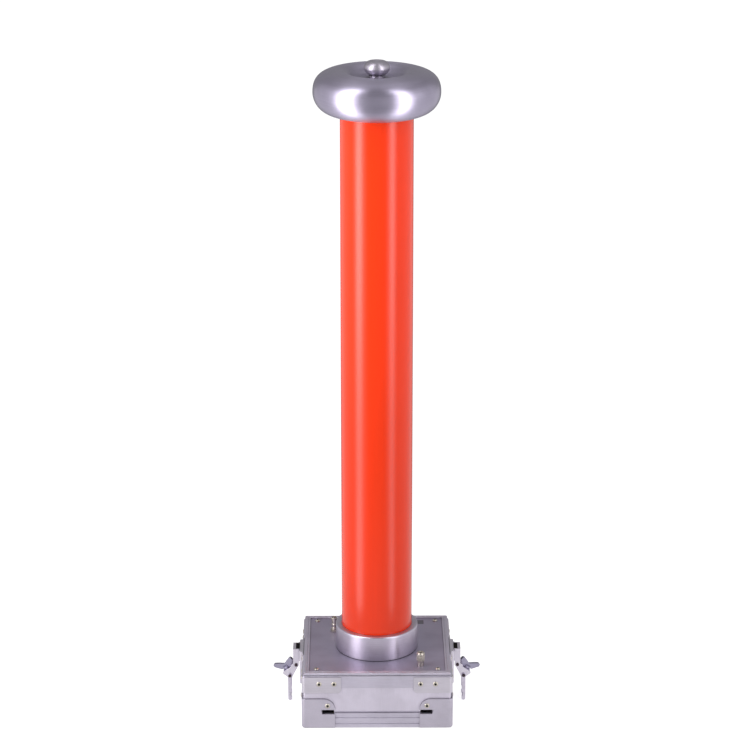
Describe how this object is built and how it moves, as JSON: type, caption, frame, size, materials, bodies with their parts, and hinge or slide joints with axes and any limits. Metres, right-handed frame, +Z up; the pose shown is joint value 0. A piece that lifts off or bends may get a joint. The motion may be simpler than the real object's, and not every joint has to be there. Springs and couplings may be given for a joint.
{
  "type": "high-voltage divider",
  "caption": "Freestanding high-voltage divider: tall orange insulating column on a riveted case with side latches, topped by a corona ring and terminal.",
  "frame": {"origin": "on the column's axis, at the level of the case's feet", "axes": "+Z up along the column, +X towards the right-hand latch, -Y towards the front face"},
  "size_m": [0.3266, 0.231, 1.0283],
  "materials": {
    "case_extrusion": "satin anodised",
    "case_sheet": "satin anodised",
    "corner_bracket": "satin nickel plated",
    "corner_cap": "satin",
    "panel": "dark satin anodised",
    "fastener": "nickel plated",
    "column_orange": "glossy orange",
    "turned_aluminium": "turned",
    "corona_aluminium": "spun and polished satin",
    "terminal": "polished",
    "steel_stud": "plain",
    "insulating_resin": "plain",
    "module_epoxy": "cast epoxy",
    "contact_brass": "plain",
    "board": "solder mask",
    "component": "dipped",
    "socket_nickel": "nickel plated",
    "socket_insulator": "white",
    "post_metal": "nickel plated",
    "latch_steel": "zinc plated",
    "latch_wing": "dull zinc plated",
    "latch_pin": "dark",
    "buffer_rubber": "black"
  },
  "bodies": {
    "case": {"board_standoffs": "contact_brass", "bottom_frame_back": "case_extrusion", "bottom_frame_front": "case_extrusion", "bottom_frame_left": "case_extrusion", "bottom_frame_right": "case_extrusion", "bottom_plate": "case_sheet", "bottom_plug": "insulating_resin", "case_rivets": "fastener", "column_flange": "turned_aluminium", "column_tube": "column_orange", "contact_spring": "contact_brass", "corona_ring": "corona_aluminium", "divider_modules": "module_epoxy", "flange_screws": "fastener", "latch_buffer_left": "buffer_rubber", "latch_buffer_right": "buffer_rubber", "latch_plate_left": "latch_steel", "latch_plate_right": "latch_steel", "latch_yoke_left": "latch_steel", "latch_yoke_right": "latch_steel", "lock_nuts": "fastener", "low_voltage_board": "board", "low_voltage_parts": "component", "lower_cap_back_left": "corner_cap", "lower_cap_back_right": "corner_cap", "lower_cap_front_left": "corner_cap", "lower_cap_front_right": "corner_cap", "panel_screws": "fastener", "post_stud": "post_metal", "side_sheet_back": "case_sheet", "side_sheet_front": "case_sheet", "side_sheet_left": "case_sheet", "side_sheet_right": "case_sheet", "signal_rod": "contact_brass", "socket_contact": "contact_brass", "socket_insulator": "socket_insulator", "socket_shell": "socket_nickel", "support_rods": "insulating_resin", "terminal_knob": "terminal", "terminal_stud": "steel_stud", "top_cap": "turned_aluminium", "top_frame_back": "case_extrusion", "top_frame_front": "case_extrusion", "top_frame_left": "case_extrusion", "top_frame_right": "case_extrusion", "top_panel": "panel", "upper_bracket_back_left": "corner_bracket", "upper_bracket_back_right": "corner_bracket", "upper_bracket_front_left": "corner_bracket", "upper_bracket_front_right": "corner_bracket"},
    "latch_carrier_right": {"latch_carrier_right": "latch_steel", "latch_pins_right": "latch_pin"},
    "latch_wing_right": {"latch_wing_right": "latch_wing"},
    "latch_link_right": {"latch_link_right": "latch_steel"},
    "latch_carrier_left": {"latch_carrier_left": "latch_steel", "latch_pins_left": "latch_pin"},
    "latch_wing_left": {"latch_wing_left": "latch_wing"},
    "latch_link_left": {"latch_link_left": "latch_steel"},
    "post_washer": {"post_washer": "post_metal"},
    "post_thumb_nut": {"post_thumb_nut": "post_metal"}
  },
  "joints": [
    {"name": "latch_carrier_swing_right", "type": "hinge", "parent": "case", "child": "latch_carrier_right", "pos_m": [0.127, 0, 0.062], "axis": [0, -1, 0], "range_deg": [-6, 20]},
    {"name": "latch_wing_turn_right", "type": "hinge", "parent": "latch_carrier_right", "child": "latch_wing_right", "pos_m": [0.14175, 0, 0.0525], "axis": [0.5693, 0, 0.8221], "range_deg": [0, 180]},
    {"name": "latch_link_swing_right", "type": "hinge", "parent": "latch_carrier_right", "child": "latch_link_right", "pos_m": [0.13695, 0, 0.04329], "axis": [0, -1, 0], "range_deg": [-14, 165]},
    {"name": "latch_carrier_swing_left", "type": "hinge", "parent": "case", "child": "latch_carrier_left", "pos_m": [-0.127, 0, 0.062], "axis": [0, 1, 0], "range_deg": [-6, 20]},
    {"name": "latch_wing_turn_left", "type": "hinge", "parent": "latch_carrier_left", "child": "latch_wing_left", "pos_m": [-0.14175, 0, 0.0525], "axis": [-0.5693, 0, 0.8221], "range_deg": [-180, 0]},
    {"name": "latch_link_swing_left", "type": "hinge", "parent": "latch_carrier_left", "child": "latch_link_left", "pos_m": [-0.13695, 0, 0.04329], "axis": [0, 1, 0], "range_deg": [-14, 165]},
    {"name": "post_nut_rise", "type": "slide", "parent": "case", "child": "post_washer", "axis": [0, 0, 1], "range_m": [0, 0.003]},
    {"name": "post_nut_turn", "type": "hinge", "parent": "post_washer", "child": "post_thumb_nut", "pos_m": [0.0675, -0.0785, 0.1024], "axis": [0, 0, 1], "range_deg": [0, 1080]}
  ],
  "couplings": [
    {"joint": "post_nut_turn", "follows": "post_nut_rise", "rad_per_m": 6283.2}
  ]
}
